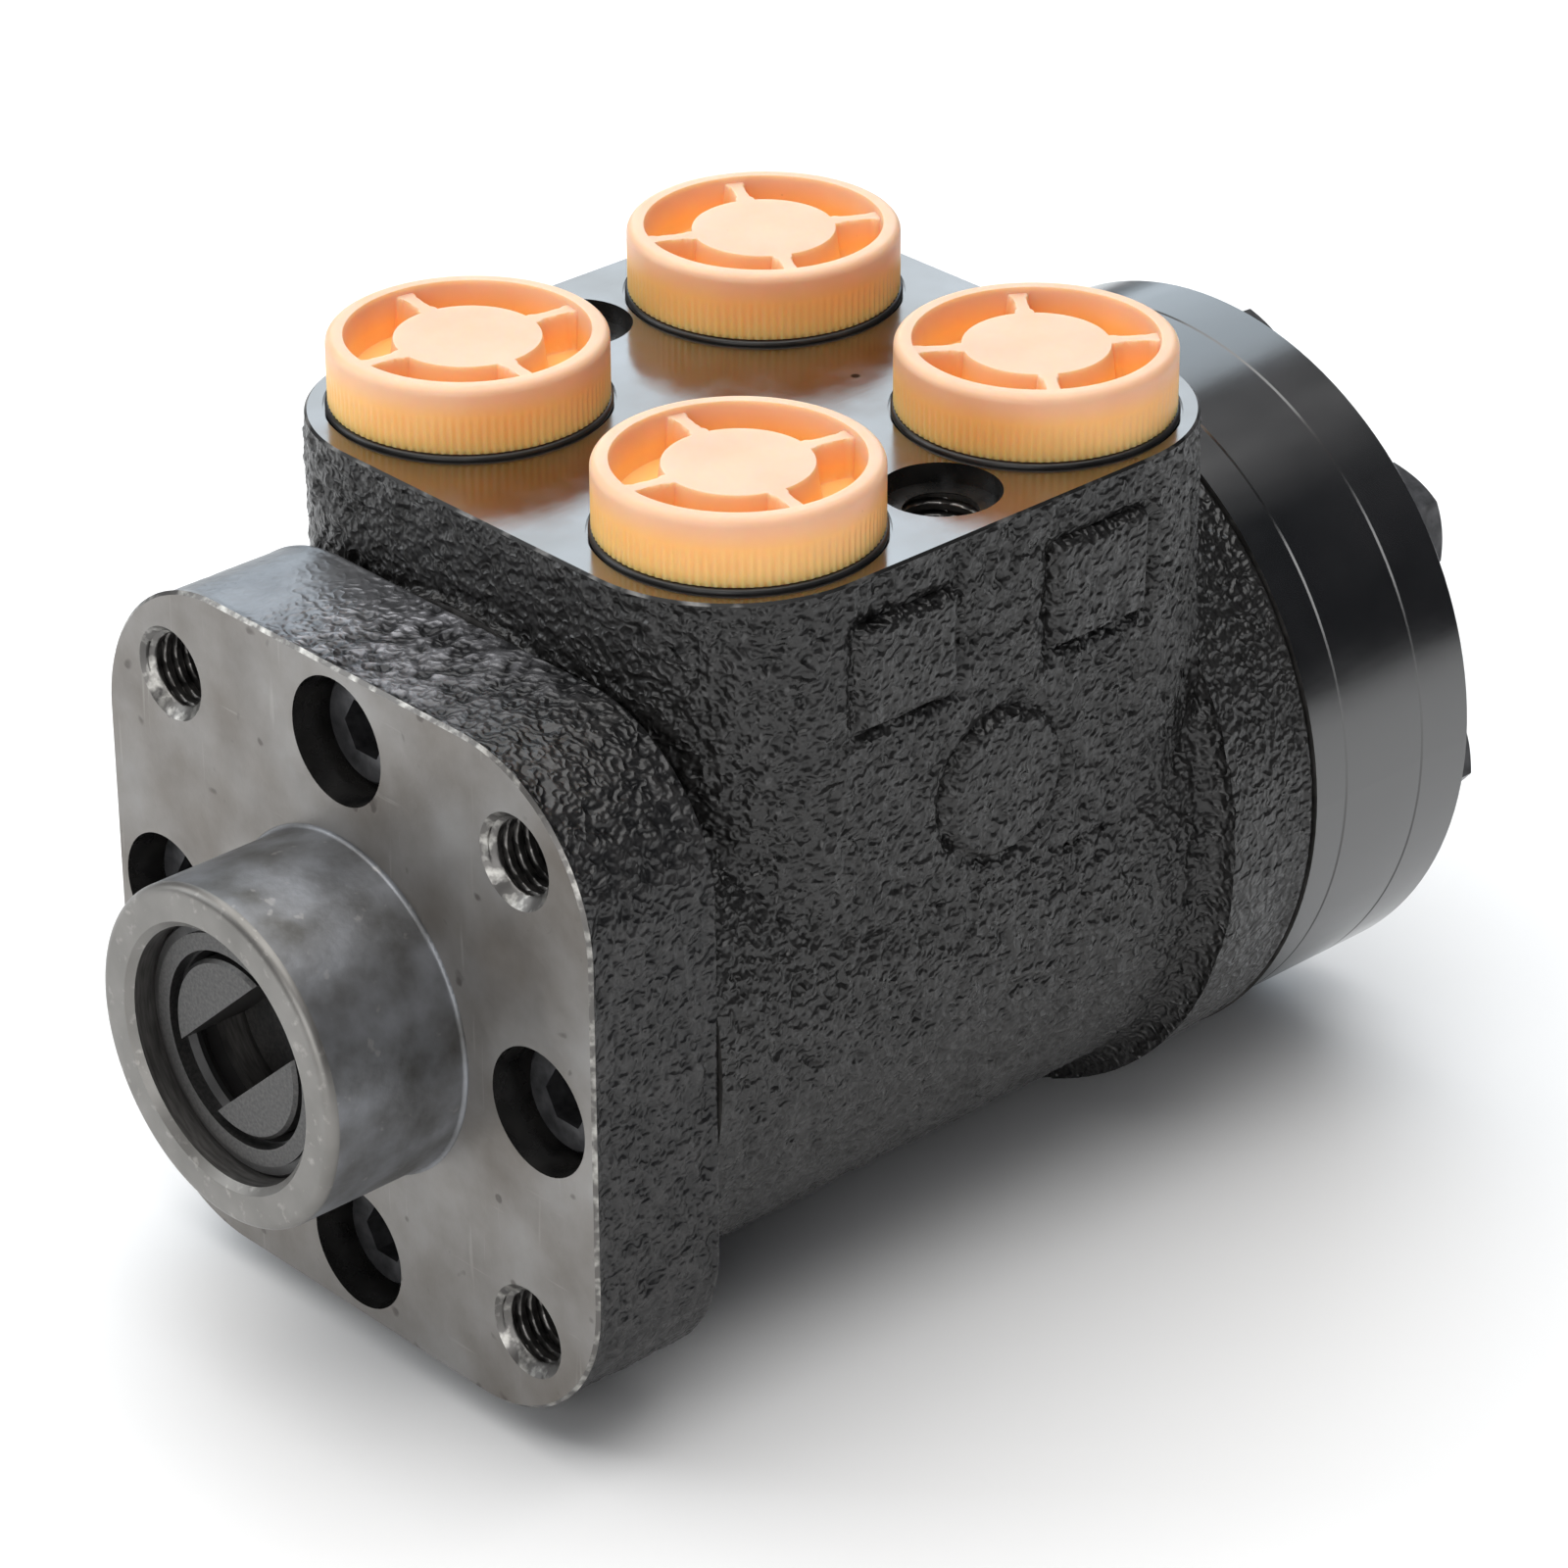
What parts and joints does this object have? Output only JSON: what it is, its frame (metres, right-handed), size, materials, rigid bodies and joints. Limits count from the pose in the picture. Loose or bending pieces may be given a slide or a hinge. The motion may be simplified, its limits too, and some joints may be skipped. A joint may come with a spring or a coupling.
{
  "type": "orbital steering unit",
  "caption": "Hydraulic orbital steering unit: rotary valve in a cast housing with a column flange, plugged ports on top and a gerotor gear set behind.",
  "frame": {"origin": "centre of the mounting flange's machined face, on the shaft axis", "axes": "+Y along the shaft axis from the column side to the end cover, +Z out of the port face, +X to the right seen from the column side"},
  "size_m": [0.0892, 0.1607, 0.1057],
  "materials": {
    "painted_casting": "rough sand-cast iron under satin black paint",
    "column_casting": "cast iron, front face and collar machined bare, edge painted black",
    "gloss_black": "smooth turned steel under glossy black paint",
    "black_oxide": "black oxide screws",
    "ground_steel": "ground and hardened steel",
    "spring_steel": "blued spring steel",
    "copper": "soft copper sealing washers",
    "black_rubber": "moulded nitrile rubber",
    "cream_plastic": "translucent cream polyethylene"
  },
  "bodies": {
    "unit": {"housing": "painted_casting", "mounting_flange": "column_casting", "column_collar": "column_casting", "flange_screws": "black_oxide", "flange_o_ring": "black_rubber", "housing_o_ring": "black_rubber", "ring_o_ring": "black_rubber", "cover_o_ring": "black_rubber", "dust_seal": "black_rubber", "dust_seal_ring": "ground_steel", "shaft_seal": "black_rubber", "bearing_outer_race": "ground_steel", "spacer_plate": "gloss_black", "gear_ring": "gloss_black", "end_cover": "gloss_black", "cover_screws": "black_oxide", "pin_screw": "black_oxide", "screw_washers": "copper", "port_gaskets": "black_rubber", "ball_stop": "ground_steel"},
    "valve_sleeve": {"sleeve": "ground_steel", "cross_pin": "ground_steel", "spring_ring": "ground_steel", "centering_springs": "spring_steel", "bearing_inner_race": "ground_steel"},
    "valve_spool": {"spool": "ground_steel"},
    "thrust_cage": {"needle_cage": "ground_steel"},
    "orbit": {"drive_spacer": "ground_steel"},
    "star": {"gear_rotor": "ground_steel"},
    "cardan": {"drive_shaft": "ground_steel"},
    "ball": {"check_ball": "ground_steel"},
    "plug_front_left": {"port_plug_front_left": "cream_plastic"},
    "plug_front_right": {"port_plug_front_right": "cream_plastic"},
    "plug_rear_left": {"port_plug_rear_left": "cream_plastic"},
    "plug_rear_right": {"port_plug_rear_right": "cream_plastic"}
  },
  "joints": [
    {"name": "sleeve_turn", "type": "hinge", "parent": "unit", "child": "valve_sleeve", "pos_m": [0, 0.06, 0], "axis": [0, 1, 0], "continuous": true},
    {"name": "spool_twist", "type": "hinge", "parent": "valve_sleeve", "child": "valve_spool", "pos_m": [0, 0.06, 0], "axis": [0, 1, 0], "range_deg": [-10, 10], "stiffness_Nm_per_rad": 10, "deforming": ["centering_springs"]},
    {"name": "cage_turn", "type": "hinge", "parent": "unit", "child": "thrust_cage", "pos_m": [0, 0.022, 0], "axis": [0, 1, 0], "continuous": true},
    {"name": "star_orbit", "type": "hinge", "parent": "unit", "child": "orbit", "pos_m": [0, 0.12, 0], "axis": [0, 1, 0], "continuous": true},
    {"name": "star_spin", "type": "hinge", "parent": "orbit", "child": "star", "pos_m": [0, 0.12, -0.0035], "axis": [0, 1, 0], "continuous": true},
    {"name": "cardan_spin", "type": "hinge", "parent": "orbit", "child": "cardan", "pos_m": [0, 0.046, 0], "axis": [0, 0.9989, -0.0479], "continuous": true},
    {"name": "ball_lift", "type": "slide", "parent": "unit", "child": "ball", "axis": [0, 0, 1], "range_m": [0, 0.0015]},
    {"name": "plug_front_left_out", "type": "slide", "parent": "unit", "child": "plug_front_left", "axis": [0, 0, 1], "range_m": [0, 0.02]},
    {"name": "plug_front_right_out", "type": "slide", "parent": "unit", "child": "plug_front_right", "axis": [0, 0, 1], "range_m": [0, 0.02]},
    {"name": "plug_rear_left_out", "type": "slide", "parent": "unit", "child": "plug_rear_left", "axis": [0, 0, 1], "range_m": [0, 0.02]},
    {"name": "plug_rear_right_out", "type": "slide", "parent": "unit", "child": "plug_rear_right", "axis": [0, 0, 1], "range_m": [0, 0.02]}
  ],
  "couplings": [
    {"joint": "cage_turn", "follows": "sleeve_turn", "ratio": 0.5},
    {"joint": "star_orbit", "follows": "sleeve_turn", "ratio": -6},
    {"joint": "star_spin", "follows": "sleeve_turn", "ratio": 7},
    {"joint": "cardan_spin", "follows": "sleeve_turn", "ratio": 7}
  ]
}
